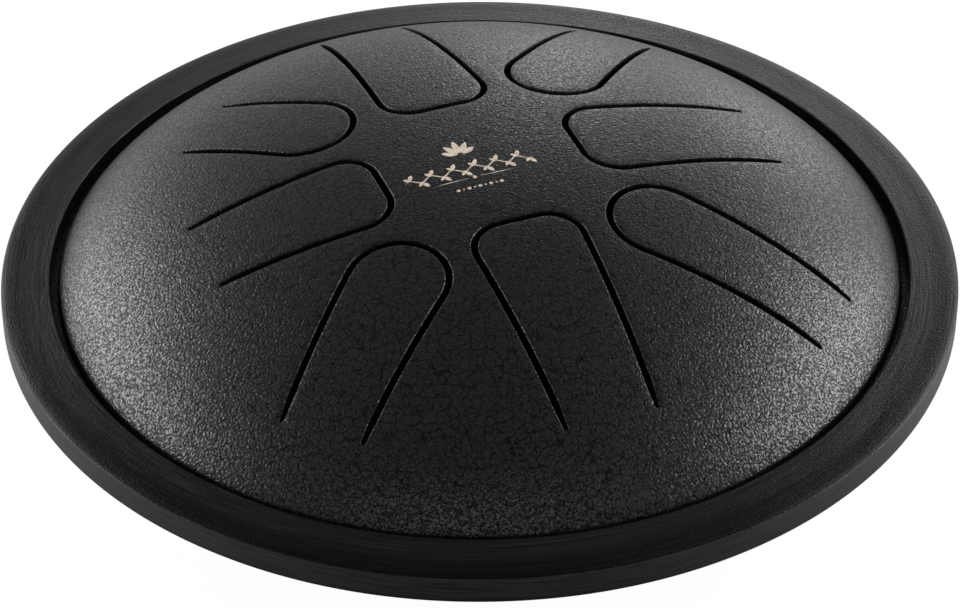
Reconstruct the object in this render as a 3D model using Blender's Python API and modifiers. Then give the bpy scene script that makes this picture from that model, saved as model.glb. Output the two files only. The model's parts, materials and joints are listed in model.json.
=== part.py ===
"""Steel tongue drum, 12 inch size, as a Blender model that anyone can run.

A pressed steel top shell carries eight tongues, each cut free on three sides by one slot.
A pressed bottom shell with a sound port closes the drum. The two flanges are welded at
their edge, a rubber ring is pushed over them, and the drum stands on three rubber feet.

Units are metres and +Z is up. The origin is on the drum's axis, at the level that the feet
stand on. +Y runs towards the tongue above the emblem, and +X towards the tongue to its right.
"""

import math

import bmesh
import bpy
from mathutils import Vector

# Sheet, and the gap that separate pieces keep between them
SHEET = 0.0015
GAP = 0.0003

# Both shells are pressed to the same ellipse: its half width, its depth, and how far its
# centre lies beyond the seam between the flanges. At the collar the sheet turns straight
# towards the seam, and there it turns out into the flange
DISH_HALF_WIDTH = 0.140
DISH_DEPTH = 0.058
DISH_CENTRE_SET_BACK = 0.012
COLLAR_RADIUS = 0.134
FLANGE_RADIUS = 0.147

# Flat base of the bottom shell, and the sound port with its turned-in lip
BASE_RADIUS = 0.062
PORT_RADIUS = 0.026
PORT_LIP_HEIGHT = 0.006
PORT_LIP_BEND = 0.004

# Rubber edge ring. Heights are above and below the seam, and the top face rises inwards
RING_RADIUS = 0.1524
RING_INNER_RADIUS = 0.1369
RING_TOP_OUTER = 0.0050
RING_TOP_INNER = 0.0070
RING_BOTTOM = 0.0055
RING_TOP_EDGE = 0.0010
RING_BOTTOM_EDGE = 0.0030
RING_INNER_EDGE = 0.0006

# Weld bead along the outer edge of the two flanges
WELD_RADIUS = 0.0012

# Tongues: (direction in degrees, tip, radius of the root line from the drum's axis)
SLOT_WIDTH = 0.0022
SQUARE, ROUND = "square", "round"
TONGUES = (
    (0, SQUARE, 0.0968),
    (45, ROUND, 0.1095),
    (90, SQUARE, 0.1095),
    (135, ROUND, 0.0973),
    (180, SQUARE, 0.0907),
    (225, ROUND, 0.1142),
    (270, SQUARE, 0.1087),
    (315, ROUND, 0.1193),
)
# Slot centre line at the tip: its distance from the axis, half width and corner radius
TIP_SHAPES = {
    SQUARE: (0.0326, 0.0181, 0.0109),
    ROUND: (0.0455, 0.0165, 0.0160),
}
SIDE_TAPER = 0.046

# Feet, with a screw, washer and nut through each
FOOT_COUNT = 3
FOOT_CIRCLE = 0.050
FOOT_FIRST_ANGLE = 90
FOOT_HEIGHT = 0.0080
FOOT_TOP_RADIUS = 0.0110
FOOT_BOTTOM_RADIUS = 0.0098
FOOT_RECESS_RADIUS = 0.0052
FOOT_RECESS_DEPTH = 0.0045
SCREW_RADIUS = 0.0020
SCREW_LENGTH = 0.0115
HEAD_RADIUS = 0.0038
HEAD_HEIGHT = 0.0024
DRIVE_SLOT = 0.0010
WASHER_RADIUS = 0.0046
WASHER_THICKNESS = 0.0008
NUT_ACROSS_FLATS = 0.0070
NUT_HEIGHT = 0.0032

# Facets: round the drum, round small pieces, along each dish and along each corner arc
DRUM_STEPS = 48
SMALL_STEPS = 16
DISH_STEPS = 9
ARC_STEPS = 4
CORNER_STEPS = 5
MERGE = 0.00001

# Heights worked out from the sizes above
DISH_CENTRE_TO_BASE = DISH_DEPTH * math.sqrt(1 - (BASE_RADIUS / DISH_HALF_WIDTH) ** 2)
BASE_DEPTH = DISH_CENTRE_TO_BASE - DISH_CENTRE_SET_BACK
SEAM_HEIGHT = FOOT_HEIGHT + BASE_DEPTH
DISH_TOP = SEAM_HEIGHT - DISH_CENTRE_SET_BACK + DISH_DEPTH


# ---------------------------------------------------------------- scene and materials

def clear_scene():
    for obj in list(bpy.data.objects):
        bpy.data.objects.remove(obj, do_unlink=True)


def new_collection(name):
    collection = bpy.data.collections.new(name)
    bpy.context.scene.collection.children.link(collection)
    return collection


def new_material(name, colour, roughness, metallic):
    material = bpy.data.materials.new(name)
    material.use_nodes = True
    shader = material.node_tree.nodes["Principled BSDF"]
    shader.inputs["Base Color"].default_value = (*colour, 1.0)
    shader.inputs["Roughness"].default_value = roughness
    shader.inputs["Metallic"].default_value = metallic
    return material


clear_scene()
DRUM = new_collection("steel_tongue_drum")
CUTTERS = new_collection("cutters")
CUTTERS.hide_render = True

BLACK_COAT = new_material("black_textured_coat", (0.022, 0.022, 0.024), 0.48, 0.30)
RUBBER = new_material("black_rubber", (0.012, 0.012, 0.012), 0.55, 0.0)
BARE_WELD = new_material("weld_steel", (0.30, 0.29, 0.28), 0.45, 0.9)
ZINC = new_material("zinc_plated_steel", (0.62, 0.62, 0.60), 0.30, 1.0)


# ---------------------------------------------------------------- shape helpers

def arc(centre, radius, start, end, steps):
    """Points (r, z) on a circle's arc, from angle start to angle end in degrees."""
    points = []
    for i in range(steps + 1):
        angle = math.radians(start + (end - start) * i / steps)
        points.append((centre[0] + radius * math.cos(angle), centre[1] + radius * math.sin(angle)))
    return points


def dish_arc(half_width, depth, from_radius, to_radius, steps):
    """Points (r, height) on an ellipse centred on the axis, at even steps of its angle."""
    start = math.asin(from_radius / half_width)
    end = math.asin(to_radius / half_width)
    points = []
    for i in range(steps + 1):
        angle = start + (end - start) * i / steps
        points.append((half_width * math.sin(angle), depth * math.cos(angle)))
    return points


def radius_at(half_width, depth, height):
    """Radius of the ellipse at a height above its centre."""
    return half_width * math.sqrt(1 - (height / depth) ** 2)


def turned(name, profile, material, closed=False, steps=DRUM_STEPS, collection=DRUM):
    """A solid of revolution about Z from a profile of (r, z) points that runs down its outer side."""
    mesh = bpy.data.meshes.new(name)
    vertices = [(r, 0.0, z) for r, z in profile]
    edges = [(i, i + 1) for i in range(len(profile) - 1)]
    if closed:
        edges.append((len(profile) - 1, 0))
    mesh.from_pydata(vertices, edges, [])
    obj = bpy.data.objects.new(name, mesh)
    collection.objects.link(obj)
    obj.data.materials.append(material)
    screw = obj.modifiers.new("turn", "SCREW")
    screw.axis = "Z"
    screw.steps = steps
    screw.render_steps = steps
    screw.use_merge_vertices = True
    screw.merge_threshold = MERGE
    screw.use_smooth_shade = True
    return obj


def prism(name, outline, low, high):
    """A cutter: a flat outline of (x, y) points as a filled 2D curve, extruded from low to high."""
    curve = bpy.data.curves.new(name, "CURVE")
    curve.dimensions = "2D"
    curve.fill_mode = "BOTH"
    curve.extrude = (high - low) / 2
    spline = curve.splines.new("POLY")
    spline.points.add(len(outline) - 1)
    for point, (x, y) in zip(spline.points, outline):
        point.co = (x, y, 0.0, 1.0)
    spline.use_cyclic_u = True
    flat = bpy.data.objects.new(name + "_curve", curve)
    CUTTERS.objects.link(flat)
    flat.location.z = (low + high) / 2
    cutter = made_mesh(name, flat)
    cutter.display_type = "WIRE"
    cutter.hide_render = True
    return cutter


def made_mesh(name, source):
    """A mesh object from a curve's evaluated shape, with its caps welded; the curve is removed."""
    bpy.context.view_layer.update()
    graph = bpy.context.evaluated_depsgraph_get()
    mesh = bpy.data.meshes.new_from_object(source.evaluated_get(graph))
    shape = bmesh.new()
    shape.from_mesh(mesh)
    bmesh.ops.remove_doubles(shape, verts=shape.verts, dist=MERGE)
    bmesh.ops.recalc_face_normals(shape, faces=shape.faces)
    shape.to_mesh(mesh)
    shape.free()
    obj = bpy.data.objects.new(name, mesh)
    CUTTERS.objects.link(obj)
    obj.matrix_world = source.matrix_world
    bpy.data.objects.remove(source, do_unlink=True)
    return obj


def cylinder_cutter(name, centre, radius, low, high):
    bpy.ops.mesh.primitive_cylinder_add(
        vertices=SMALL_STEPS,
        radius=radius,
        depth=high - low,
        location=(centre[0], centre[1], (low + high) / 2),
    )
    return as_cutter(name, bpy.context.object)


def box_cutter(name, size, centre):
    bpy.ops.mesh.primitive_cube_add(size=1.0, location=centre)
    obj = bpy.context.object
    obj.scale = size
    bpy.ops.object.transform_apply(location=False, rotation=False, scale=True)
    return as_cutter(name, obj)


def as_cutter(name, obj):
    obj.name = name
    for collection in list(obj.users_collection):
        collection.objects.unlink(obj)
    CUTTERS.objects.link(obj)
    obj.display_type = "WIRE"
    obj.hide_render = True
    return obj


def boolean(obj, cutter, operation):
    modifier = obj.modifiers.new(cutter.name, "BOOLEAN")
    modifier.operation = operation
    modifier.solver = "EXACT"
    modifier.object = cutter


# ---------------------------------------------------------------- pressed shells

def dish(from_radius):
    """The ellipse outside and inside the sheet, from a radius on its outside to the collar."""
    inner_width, inner_depth = DISH_HALF_WIDTH - SHEET, DISH_DEPTH - SHEET
    inner_start = 0.0
    if from_radius:
        base_height = DISH_DEPTH * math.sqrt(1 - (from_radius / DISH_HALF_WIDTH) ** 2)
        inner_start = radius_at(inner_width, inner_depth, base_height - SHEET)
    outside = dish_arc(DISH_HALF_WIDTH, DISH_DEPTH, from_radius, COLLAR_RADIUS, DISH_STEPS)
    inside = dish_arc(inner_width, inner_depth, inner_start, COLLAR_RADIUS - SHEET, DISH_STEPS)
    return outside, inside


def flange(side):
    """The collar's foot and the flange, outside then inside. Side is 1 above the seam, -1 below."""
    outer_face = SEAM_HEIGHT + side * SHEET
    seam_face = SEAM_HEIGHT + side * GAP / 2
    return [
        (COLLAR_RADIUS, outer_face),
        (FLANGE_RADIUS, outer_face),
        (FLANGE_RADIUS, seam_face),
        (COLLAR_RADIUS - SHEET, seam_face),
    ]


def upper_dish_profile():
    """The pressed top shell before the slots are cut: dome outside, flange, then dome inside."""
    centre = SEAM_HEIGHT - DISH_CENTRE_SET_BACK
    outside, inside = dish(0.0)
    profile = [(r, centre + height) for r, height in outside]
    profile += flange(1)
    profile += [(r, centre + height) for r, height in reversed(inside)]
    return profile


def lower_dish_profile():
    """The bottom shell, from the collar's inside: flange, dish outside, port lip, dish inside."""
    centre = SEAM_HEIGHT + DISH_CENTRE_SET_BACK
    base_top = FOOT_HEIGHT + SHEET
    bend = (PORT_RADIUS + SHEET + PORT_LIP_BEND, base_top + PORT_LIP_BEND)
    lip_top = base_top + PORT_LIP_HEIGHT
    outside, inside = dish(BASE_RADIUS)
    profile = list(reversed(flange(-1)))
    profile += [(r, centre - height) for r, height in reversed(outside)]
    profile += arc(bend, PORT_LIP_BEND + SHEET, 270, 180, ARC_STEPS)
    profile.append((PORT_RADIUS, lip_top))
    profile.append((PORT_RADIUS + SHEET, lip_top))
    profile += arc(bend, PORT_LIP_BEND, 180, 270, ARC_STEPS)
    profile += [(r, centre - height) for r, height in inside]
    return profile


def tongue_outline(direction, tip, root_radius, offset, root_extra):
    """The tongue's plan outline (x, y): the slot's centre line moved out by offset.

    Two sides that close towards the rim, a tip with rounded corners, and a straight root
    line that lies root_extra beyond the tongue's root.
    """
    tip_distance, half_width, corner = TIP_SHAPES[tip]
    near = tip_distance - offset
    radius = corner + offset
    root = root_radius + root_extra
    root_half_width = half_width + offset - SIDE_TAPER * (root - tip_distance)
    tip_half_width = half_width + offset
    side = [(root, root_half_width)]
    side += arc((near + radius, tip_half_width - radius), radius, 90, 180, CORNER_STEPS)
    local = side + [(u, -v) for u, v in reversed(side)]
    turn = math.radians(direction)
    return [
        (u * math.cos(turn) - v * math.sin(turn), u * math.sin(turn) + v * math.cos(turn))
        for u, v in local
    ]


def build_top_shell():
    shell = turned("top_shell", upper_dish_profile(), BLACK_COAT)
    for number, (direction, tip, root_radius) in enumerate(TONGUES, start=1):
        window = tongue_outline(direction, tip, root_radius, SLOT_WIDTH / 2, GAP)
        cutter = prism(f"window_{number}", window, SEAM_HEIGHT, DISH_TOP + SHEET)
        boolean(shell, cutter, "DIFFERENCE")
    return shell


def root_point(direction, root_radius):
    """Middle of a tongue's root line, halfway through the sheet: the point it flexes about."""
    height = SEAM_HEIGHT - DISH_CENTRE_SET_BACK - SHEET / 2
    height += DISH_DEPTH * math.sqrt(1 - (root_radius / DISH_HALF_WIDTH) ** 2)
    turn = math.radians(direction)
    return Vector((root_radius * math.cos(turn), root_radius * math.sin(turn), height))


def build_tongue(number, direction, tip, root_radius):
    """One tongue: the part of the same pressing that lies inside the slot."""
    tongue = turned(f"tongue_{number}", upper_dish_profile(), BLACK_COAT)
    outline = tongue_outline(direction, tip, root_radius, -SLOT_WIDTH / 2, 0.0)
    cutter = prism(f"tongue_blank_{number}", outline, SEAM_HEIGHT, DISH_TOP + SHEET)
    boolean(tongue, cutter, "INTERSECT")
    root = bpy.data.objects.new(f"tongue_{number}_root", None)
    DRUM.objects.link(root)
    root.location = root_point(direction, root_radius)
    root.rotation_euler.z = math.radians(direction)
    bpy.context.view_layer.update()
    tongue.parent = root
    tongue.matrix_parent_inverse = root.matrix_world.inverted()
    return tongue


def foot_places():
    """The (x, y) of each foot on its circle."""
    places = []
    for i in range(FOOT_COUNT):
        angle = math.radians(FOOT_FIRST_ANGLE + 360 * i / FOOT_COUNT)
        places.append((FOOT_CIRCLE * math.cos(angle), FOOT_CIRCLE * math.sin(angle)))
    return places


def build_bottom_shell():
    shell = turned("bottom_shell", lower_dish_profile(), BLACK_COAT, closed=True)
    for number, place in enumerate(foot_places(), start=1):
        hole = cylinder_cutter(
            f"foot_hole_{number}",
            place,
            SCREW_RADIUS + GAP,
            FOOT_HEIGHT - SHEET,
            FOOT_HEIGHT + 2 * SHEET,
        )
        boolean(shell, hole, "DIFFERENCE")
    return shell


# ---------------------------------------------------------------- seam and edge ring

def build_weld():
    """The bead that runs round the edge of both flanges and joins the shells."""
    inner = FLANGE_RADIUS + GAP
    half = SHEET - GAP
    profile = [(inner, SEAM_HEIGHT + half)]
    profile += arc((inner, SEAM_HEIGHT), half, 60, -60, ARC_STEPS)
    profile.append((inner, SEAM_HEIGHT - half))
    return turned("rim_weld", profile, BARE_WELD, closed=True)


def build_edge_ring():
    """The rubber ring: a grooved section that sits over both flanges."""
    seam = SEAM_HEIGHT
    top_outer = (RING_RADIUS - RING_TOP_EDGE, seam + RING_TOP_OUTER - RING_TOP_EDGE)
    bottom_outer = (RING_RADIUS - RING_BOTTOM_EDGE, seam - RING_BOTTOM + RING_BOTTOM_EDGE)
    top_inner = (RING_INNER_RADIUS + RING_INNER_EDGE, seam + RING_TOP_INNER - RING_INNER_EDGE)
    bottom_inner = (RING_INNER_RADIUS + RING_INNER_EDGE, seam - RING_BOTTOM + RING_INNER_EDGE)
    groove_radius = FLANGE_RADIUS + GAP + WELD_RADIUS + GAP
    groove_half = SHEET + GAP
    profile = arc(top_inner, RING_INNER_EDGE, 180, 90, 2)
    profile += arc(top_outer, RING_TOP_EDGE, 80, 0, 3)
    profile += arc(bottom_outer, RING_BOTTOM_EDGE, 0, -90, ARC_STEPS)
    profile += arc(bottom_inner, RING_INNER_EDGE, 270, 180, 2)
    profile.append((RING_INNER_RADIUS, seam - groove_half))
    profile.append((groove_radius, seam - groove_half))
    profile.append((groove_radius, seam + groove_half))
    profile.append((RING_INNER_RADIUS, seam + groove_half))
    return turned("edge_ring", profile, RUBBER, closed=True)


# ---------------------------------------------------------------- feet and fasteners

def place_at(obj, place):
    obj.location.x = place[0]
    obj.location.y = place[1]


def build_foot(number, place):
    """A rubber foot with a recess for the screw's head and a hole for its shank."""
    top = FOOT_HEIGHT - GAP
    hole = SCREW_RADIUS + GAP
    edge = 0.0010
    profile = [(hole, top), (FOOT_TOP_RADIUS, top)]
    profile += arc((FOOT_BOTTOM_RADIUS - edge, edge), edge, 0, -90, 3)
    profile += [
        (FOOT_RECESS_RADIUS, 0.0),
        (FOOT_RECESS_RADIUS, FOOT_RECESS_DEPTH),
        (hole, FOOT_RECESS_DEPTH),
    ]
    foot = turned(f"foot_{number}", profile, RUBBER, closed=True, steps=SMALL_STEPS)
    place_at(foot, place)
    return foot


def build_washer(number, place):
    top = FOOT_RECESS_DEPTH - GAP
    bottom = top - WASHER_THICKNESS
    hole = SCREW_RADIUS + GAP
    profile = [(hole, top), (WASHER_RADIUS, top), (WASHER_RADIUS, bottom), (hole, bottom)]
    washer = turned(f"foot_washer_{number}", profile, ZINC, closed=True, steps=SMALL_STEPS)
    place_at(washer, place)
    return washer


def build_screw(number, place):
    """A pan head screw from below, with a cross slot in its head."""
    head_top = FOOT_RECESS_DEPTH - WASHER_THICKNESS - 2 * GAP
    head_bottom = head_top - HEAD_HEIGHT
    dome = HEAD_HEIGHT / 2
    profile = [
        (0.0, head_top + SCREW_LENGTH),
        (SCREW_RADIUS, head_top + SCREW_LENGTH),
        (SCREW_RADIUS, head_top),
        (HEAD_RADIUS, head_top),
        (HEAD_RADIUS, head_bottom + dome),
        (HEAD_RADIUS - dome, head_bottom),
        (0.0, head_bottom),
    ]
    screw = turned(f"foot_screw_{number}", profile, ZINC, steps=SMALL_STEPS)
    place_at(screw, place)
    long_side = HEAD_RADIUS * 1.2
    for i, size in enumerate(((long_side, DRIVE_SLOT, dome * 2), (DRIVE_SLOT, long_side, dome * 2))):
        centre = (place[0], place[1], head_bottom)
        boolean(screw, box_cutter(f"drive_slot_{number}_{i}", size, centre), "DIFFERENCE")
    return screw


def build_nut(number, place):
    """A hexagon nut inside the drum, on the bottom shell."""
    low = FOOT_HEIGHT + SHEET + GAP
    corner = NUT_ACROSS_FLATS / 2 / math.cos(math.pi / 6)
    bpy.ops.mesh.primitive_cylinder_add(
        vertices=6,
        radius=corner,
        depth=NUT_HEIGHT,
        location=(place[0], place[1], low + NUT_HEIGHT / 2),
    )
    nut = bpy.context.object
    nut.name = f"foot_nut_{number}"
    for collection in list(nut.users_collection):
        collection.objects.unlink(nut)
    DRUM.objects.link(nut)
    nut.data.materials.append(ZINC)
    hole = cylinder_cutter(
        f"nut_hole_{number}", place, SCREW_RADIUS + GAP, low - SHEET, low + NUT_HEIGHT + SHEET
    )
    boolean(nut, hole, "DIFFERENCE")
    return nut


# ---------------------------------------------------------------- the drum

build_top_shell()
for index, (tongue_direction, tongue_tip, tongue_root) in enumerate(TONGUES, start=1):
    build_tongue(index, tongue_direction, tongue_tip, tongue_root)
build_bottom_shell()
build_weld()
build_edge_ring()
for index, foot_place in enumerate(foot_places(), start=1):
    build_foot(index, foot_place)
    build_washer(index, foot_place)
    build_screw(index, foot_place)
    build_nut(index, foot_place)
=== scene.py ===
"""A 12 inch steel tongue drum: black crackle coat, rubber edge ring, eight tongues."""

import json
import math

import bmesh
import bpy
import numpy as np
from mathutils import Matrix, Vector
from mathutils.geometry import delaunay_2d_cdt


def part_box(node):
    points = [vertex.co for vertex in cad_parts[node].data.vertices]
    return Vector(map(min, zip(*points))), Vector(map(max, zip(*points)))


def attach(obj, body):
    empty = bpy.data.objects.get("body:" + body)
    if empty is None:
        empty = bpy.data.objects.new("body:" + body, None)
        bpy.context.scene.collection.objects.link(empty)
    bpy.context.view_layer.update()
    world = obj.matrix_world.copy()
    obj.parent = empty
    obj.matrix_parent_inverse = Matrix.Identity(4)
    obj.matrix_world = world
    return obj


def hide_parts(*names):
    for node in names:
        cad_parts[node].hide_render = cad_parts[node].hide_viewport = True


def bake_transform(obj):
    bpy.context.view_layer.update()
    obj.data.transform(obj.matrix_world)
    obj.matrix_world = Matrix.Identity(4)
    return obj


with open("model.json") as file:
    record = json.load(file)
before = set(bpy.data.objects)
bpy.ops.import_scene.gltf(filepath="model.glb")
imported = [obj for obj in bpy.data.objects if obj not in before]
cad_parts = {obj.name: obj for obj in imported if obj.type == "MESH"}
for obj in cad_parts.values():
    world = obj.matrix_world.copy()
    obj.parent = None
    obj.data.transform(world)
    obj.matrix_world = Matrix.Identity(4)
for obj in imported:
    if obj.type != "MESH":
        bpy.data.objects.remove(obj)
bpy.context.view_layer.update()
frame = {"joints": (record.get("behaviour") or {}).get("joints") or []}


# =============================================================== 1. TOP SHELL
# The upper half of the drum: 1.5 mm steel pressed to a shallow dome, with a short upright
# collar and a flat flange that is welded to the bottom shell. The slots are cut through it,
# their edges are broken by hand, and the whole is powder coated in black crackle.

SHEET = 0.0015
DISH_WIDTH = 0.140
DISH_DEPTH = 0.058
COLLAR = 0.134
COLLAR_BEND = 0.0018
COLLAR_FOOT = 0.0010
FLANGE = 0.147
SEAM_GAP = 0.00015
seam = (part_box("rim_weld")[0].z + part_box("rim_weld")[1].z) / 2
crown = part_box("top_shell")[1].z

SLOT = 0.0022
SLOT_END = 0.0015
SLOT_NARROWS = 0.007
BROKEN_EDGE = 0.00035
SIDE_TAPER = 0.046
SQUARE_TIP = (0.0326, 0.0181, 0.0109)
ROUND_TIP = (0.0455, 0.0165, 0.01574)
ROUND_STEPS = 720

# The first tone is painted shade, laid in the grooves between the coat's plates; the second is the
# plates' own colour.
COAT_GROOVE_SHADE = (0.0016, 0.0014, 0.0018)
COAT_LIGHT = (0.0110, 0.0099, 0.0124)
PLATES = 330
GROOVE = 0.10
CRACK_WANDER = 0.0022
GRAIN = 1250
SPECKS = 1500
PATCH_SHARE = 0.35


def dome_face(xy):
    """Outer face of the dome at plan points: half an ellipse turned about the axis.

    Height is the crown less the depth, plus depth times the root of 1 - (radius / width)
    squared. The normal is the radius over width squared, tilted up by height over depth
    squared, made one long.
    """
    radius = np.hypot(xy[:, 0], xy[:, 1])
    rise = DISH_DEPTH * np.sqrt(1 - (radius / DISH_WIDTH) ** 2)
    points = np.column_stack([xy, crown - DISH_DEPTH + rise])
    normals = np.column_stack([xy / DISH_WIDTH ** 2, rise / DISH_DEPTH ** 2])
    return points, normals / np.linalg.norm(normals, axis=1)[:, None]


def slot_loop(direction, tip_shape, root):
    """One slot's closed outline in plan, and how far across the slot each point faces.

    Two lines that close by the side taper and a tip with two round corners give the slot's
    centre. The outline runs out along it at half the slot's width plus the broken edge, turns
    through half a circle at the end, and comes back on the tongue's side. Returns the points,
    the unit directions towards the slot, and where the tongue's side starts and stops.
    """
    tip, half, corner = tip_shape
    tilt = math.atan(SIDE_TAPER)
    side = np.array([math.sin(tilt), math.cos(tilt)])
    centre = np.array([tip + corner, half - SIDE_TAPER * corner - corner / math.cos(tilt)])
    turn = np.radians(np.linspace(180, 90 - math.degrees(tilt), 26))
    bend_normals = np.column_stack([np.cos(turn), np.sin(turn)])
    along = np.array([side[1], -side[0]])
    length = (root - centre[0] - corner * side[0]) / along[0]
    run = np.linspace(0, 1, int(length / 0.0012))[1:]
    spine = np.vstack([centre + corner * bend_normals,
                       centre + corner * side + run[:, None] * length * along])
    normals = np.vstack([bend_normals, np.tile(side, (len(run), 1))])
    across = max(int(2 * centre[1] / 0.0012), 1)
    level = np.linspace(0, centre[1], across // 2 + 1)[1:-1] if centre[1] > 0.001 else []
    tip_line = np.column_stack([np.full(len(level), tip), level])
    spine = np.vstack([tip_line, spine])
    normals = np.vstack([np.tile([-1.0, 0.0], (len(level), 1)), normals])
    flip = np.array([1, -1])
    spine = np.vstack([(spine * flip)[::-1], spine])
    normals = np.vstack([(normals * flip)[::-1], normals])
    to_root = np.clip((root - spine[:, 0]) / SLOT_NARROWS, 0, 1)
    ease = to_root * to_root * (3 - 2 * to_root)
    reach = (SLOT_END + (SLOT - SLOT_END) * ease) / 2 + BROKEN_EDGE
    outer = spine + reach[:, None] * normals
    inner = spine - reach[:, None] * normals
    cap_turn = np.radians(np.arange(12, 180, 12))
    caps, cap_faces = [], []
    for end, sign in ((-1, 1), (0, -1)):
        out, on = normals[end], along * (1, sign)
        faces = np.cos(cap_turn)[:, None] * out + np.sin(cap_turn)[:, None] * on
        caps.append(spine[end] + reach[end] * faces)
        cap_faces.append(-faces)
    loop = np.vstack([outer, caps[0], inner[::-1], caps[1][::-1]])
    facing = np.vstack([-normals, cap_faces[0], normals[::-1], cap_faces[1][::-1]])
    start = len(outer) + len(caps[0])
    angle = math.radians(direction)
    spin = np.array([[math.cos(angle), math.sin(angle)], [-math.sin(angle), math.cos(angle)]])
    return loop @ spin, facing @ spin, start, start + len(inner)


def root_line(loop, start, stop):
    """Plan points between the two ends of a tongue's outline, about 1.5 mm apart."""
    steps = int(np.linalg.norm(loop[stop - 1] - loop[start]) / 0.0015)
    share = np.linspace(0, 1, steps + 1)[1:-1, None]
    return loop[stop - 1] * (1 - share) + loop[start] * share


def circle(radius, steps=ROUND_STEPS):
    """Plan points round the axis at even angles."""
    angle = np.linspace(0, 2 * math.pi, steps, endpoint=False)
    return radius * np.column_stack([np.cos(angle), np.sin(angle)])


def inside(points, outline):
    """Whether each point is inside a closed outline: it crosses the outline an odd number of times."""
    x, y = points[:, :1], points[:, 1:]
    x1, y1 = outline.T
    x2, y2 = np.roll(outline, -1, axis=0).T
    spans = (y1 > y) != (y2 > y)
    with np.errstate(divide="ignore", invalid="ignore"):
        crossing = x < (x2 - x1) * (y - y1) / (y2 - y1) + x1
    return (spans & crossing).sum(1) % 2 == 1


def ring_points(low, high, spacing):
    """Plan points on rings from one radius to another, each ring turned against the last."""
    rings = []
    for number, radius in enumerate(np.arange(low, high, spacing)):
        count = max(int(2 * math.pi * radius / spacing), 1)
        angle = 2 * math.pi * (np.arange(count) + 0.5 * (number % 2)) / count
        rings.append(radius * np.column_stack([np.cos(angle), np.sin(angle)]))
    return np.vstack(rings)


def plan_triangles(outlines, lines, filling, clear):
    """Triangles that fill the plan, with every outline and line kept as edges.

    Filling points nearer than clear to an outline or line are left out.
    """
    edge_points = np.vstack(outlines + lines)
    gap = np.concatenate([
        np.min(np.linalg.norm(block[:, None] - edge_points[None], axis=2), axis=1)
        for block in np.array_split(filling, max(len(filling) // 400, 1))
    ])
    points = np.vstack([edge_points, filling[gap > clear]])
    edges, first = [], 0
    for outline in outlines:
        count = len(outline)
        edges += [(first + i, first + (i + 1) % count) for i in range(count)]
        first += count
    for line in lines:
        edges += [(first + i, first + i + 1) for i in range(len(line) - 1)]
        first += len(line)
    found = delaunay_2d_cdt([Vector(p) for p in points], edges, [], 0, 1e-7)
    return np.array([tuple(p) for p in found[0]]), np.array(found[2])


def edge_wall(face, chain, facing):
    """Rounded edge of a sheet carried along a closed chain of plan points.

    The profile leaves the outer face, rounds over a quarter circle, drops through the sheet
    and rounds back to the inner face. It reaches out along facing, and where facing is nil
    it drops straight.
    """
    points, normals = face(chain)
    out = np.column_stack([facing, np.zeros(len(facing))])
    out -= (out * normals).sum(1)[:, None] * normals
    size = np.linalg.norm(out, axis=1)[:, None]
    out = np.divide(out, size, out=np.zeros_like(out), where=size > 0.1)
    turn = np.radians([0, 22.5, 45, 67.5, 90])
    reach = BROKEN_EDGE * np.concatenate([np.sin(turn), [1], np.sin(turn)[::-1]])
    over = BROKEN_EDGE * (1 - np.cos(turn))
    depth = np.concatenate([over, [SHEET / 2], SHEET - over[::-1]])
    return points + reach[:, None, None] * out - depth[:, None, None] * normals


def turned_wall(profile, steps=ROUND_STEPS):
    """A profile of (radius, height) rows carried round the axis at even angles."""
    angle = np.linspace(0, 2 * math.pi, steps, endpoint=False)
    radius, height = np.asarray(profile).T
    return np.stack([
        radius[:, None] * np.cos(angle),
        radius[:, None] * np.sin(angle),
        np.repeat(height[:, None], steps, axis=1),
    ], axis=2)


def wall_faces(rows, columns, first):
    """Four-sided faces of a grid whose columns close on themselves, as vertex numbers."""
    row, column = np.meshgrid(np.arange(rows - 1), np.arange(columns), indexing="ij")
    row, column = row.ravel(), column.ravel()
    after = (column + 1) % columns
    corners = [row * columns + column, row * columns + after,
               (row + 1) * columns + after, (row + 1) * columns + column]
    return first + np.column_stack(corners)


def closed_piece(name, parts, sharp=40):
    """One closed mesh from parts of (vertices, faces): doubles merged, faces turned outwards."""
    vertices, faces, first = [], [], 0
    for points, corners in parts:
        vertices.append(points)
        faces += (np.asarray(corners) + first).tolist()
        first += len(points)
    mesh = bpy.data.meshes.new(name)
    mesh.from_pydata(np.vstack(vertices), [], faces)
    shape = bmesh.new()
    shape.from_mesh(mesh)
    bmesh.ops.remove_doubles(shape, verts=shape.verts, dist=2e-6)
    bmesh.ops.recalc_face_normals(shape, faces=shape.faces)
    shape.to_mesh(mesh)
    shape.free()
    mesh.shade_smooth()
    mesh.set_sharp_from_angle(angle=math.radians(sharp))
    piece = bpy.data.objects.new(name, mesh)
    bpy.context.scene.collection.objects.link(piece)
    return piece


def sheet_parts(face, plan, triangles, walls):
    """The outer and inner faces of a sheet over plan triangles, and the walls at its edges."""
    points, normals = face(plan)
    parts = [(points, triangles), (points - SHEET * normals, triangles[:, ::-1])]
    for wall in walls:
        rows, columns = wall.shape[:2]
        parts.append((wall.reshape(-1, 3), wall_faces(rows, columns, 0)))
    return parts


def arc(centre, radius, start, end, steps=6):
    """Rows (radius, height) on an arc between two angles in degrees."""
    turn = np.radians(np.linspace(start, end, steps + 1))
    return np.column_stack([centre[0] + radius * np.cos(turn), centre[1] + radius * np.sin(turn)])


def bend_start(face):
    """Radius where the dome turns into the collar's bend, and the dome's tilt there in degrees."""
    radius = COLLAR - COLLAR_BEND / 2
    for _ in range(8):
        normal = face(np.array([[radius, 0.0]]))[1][0]
        radius = COLLAR - COLLAR_BEND + COLLAR_BEND * abs(normal[0])
    return radius, math.degrees(math.asin(abs(normal[0])))


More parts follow.
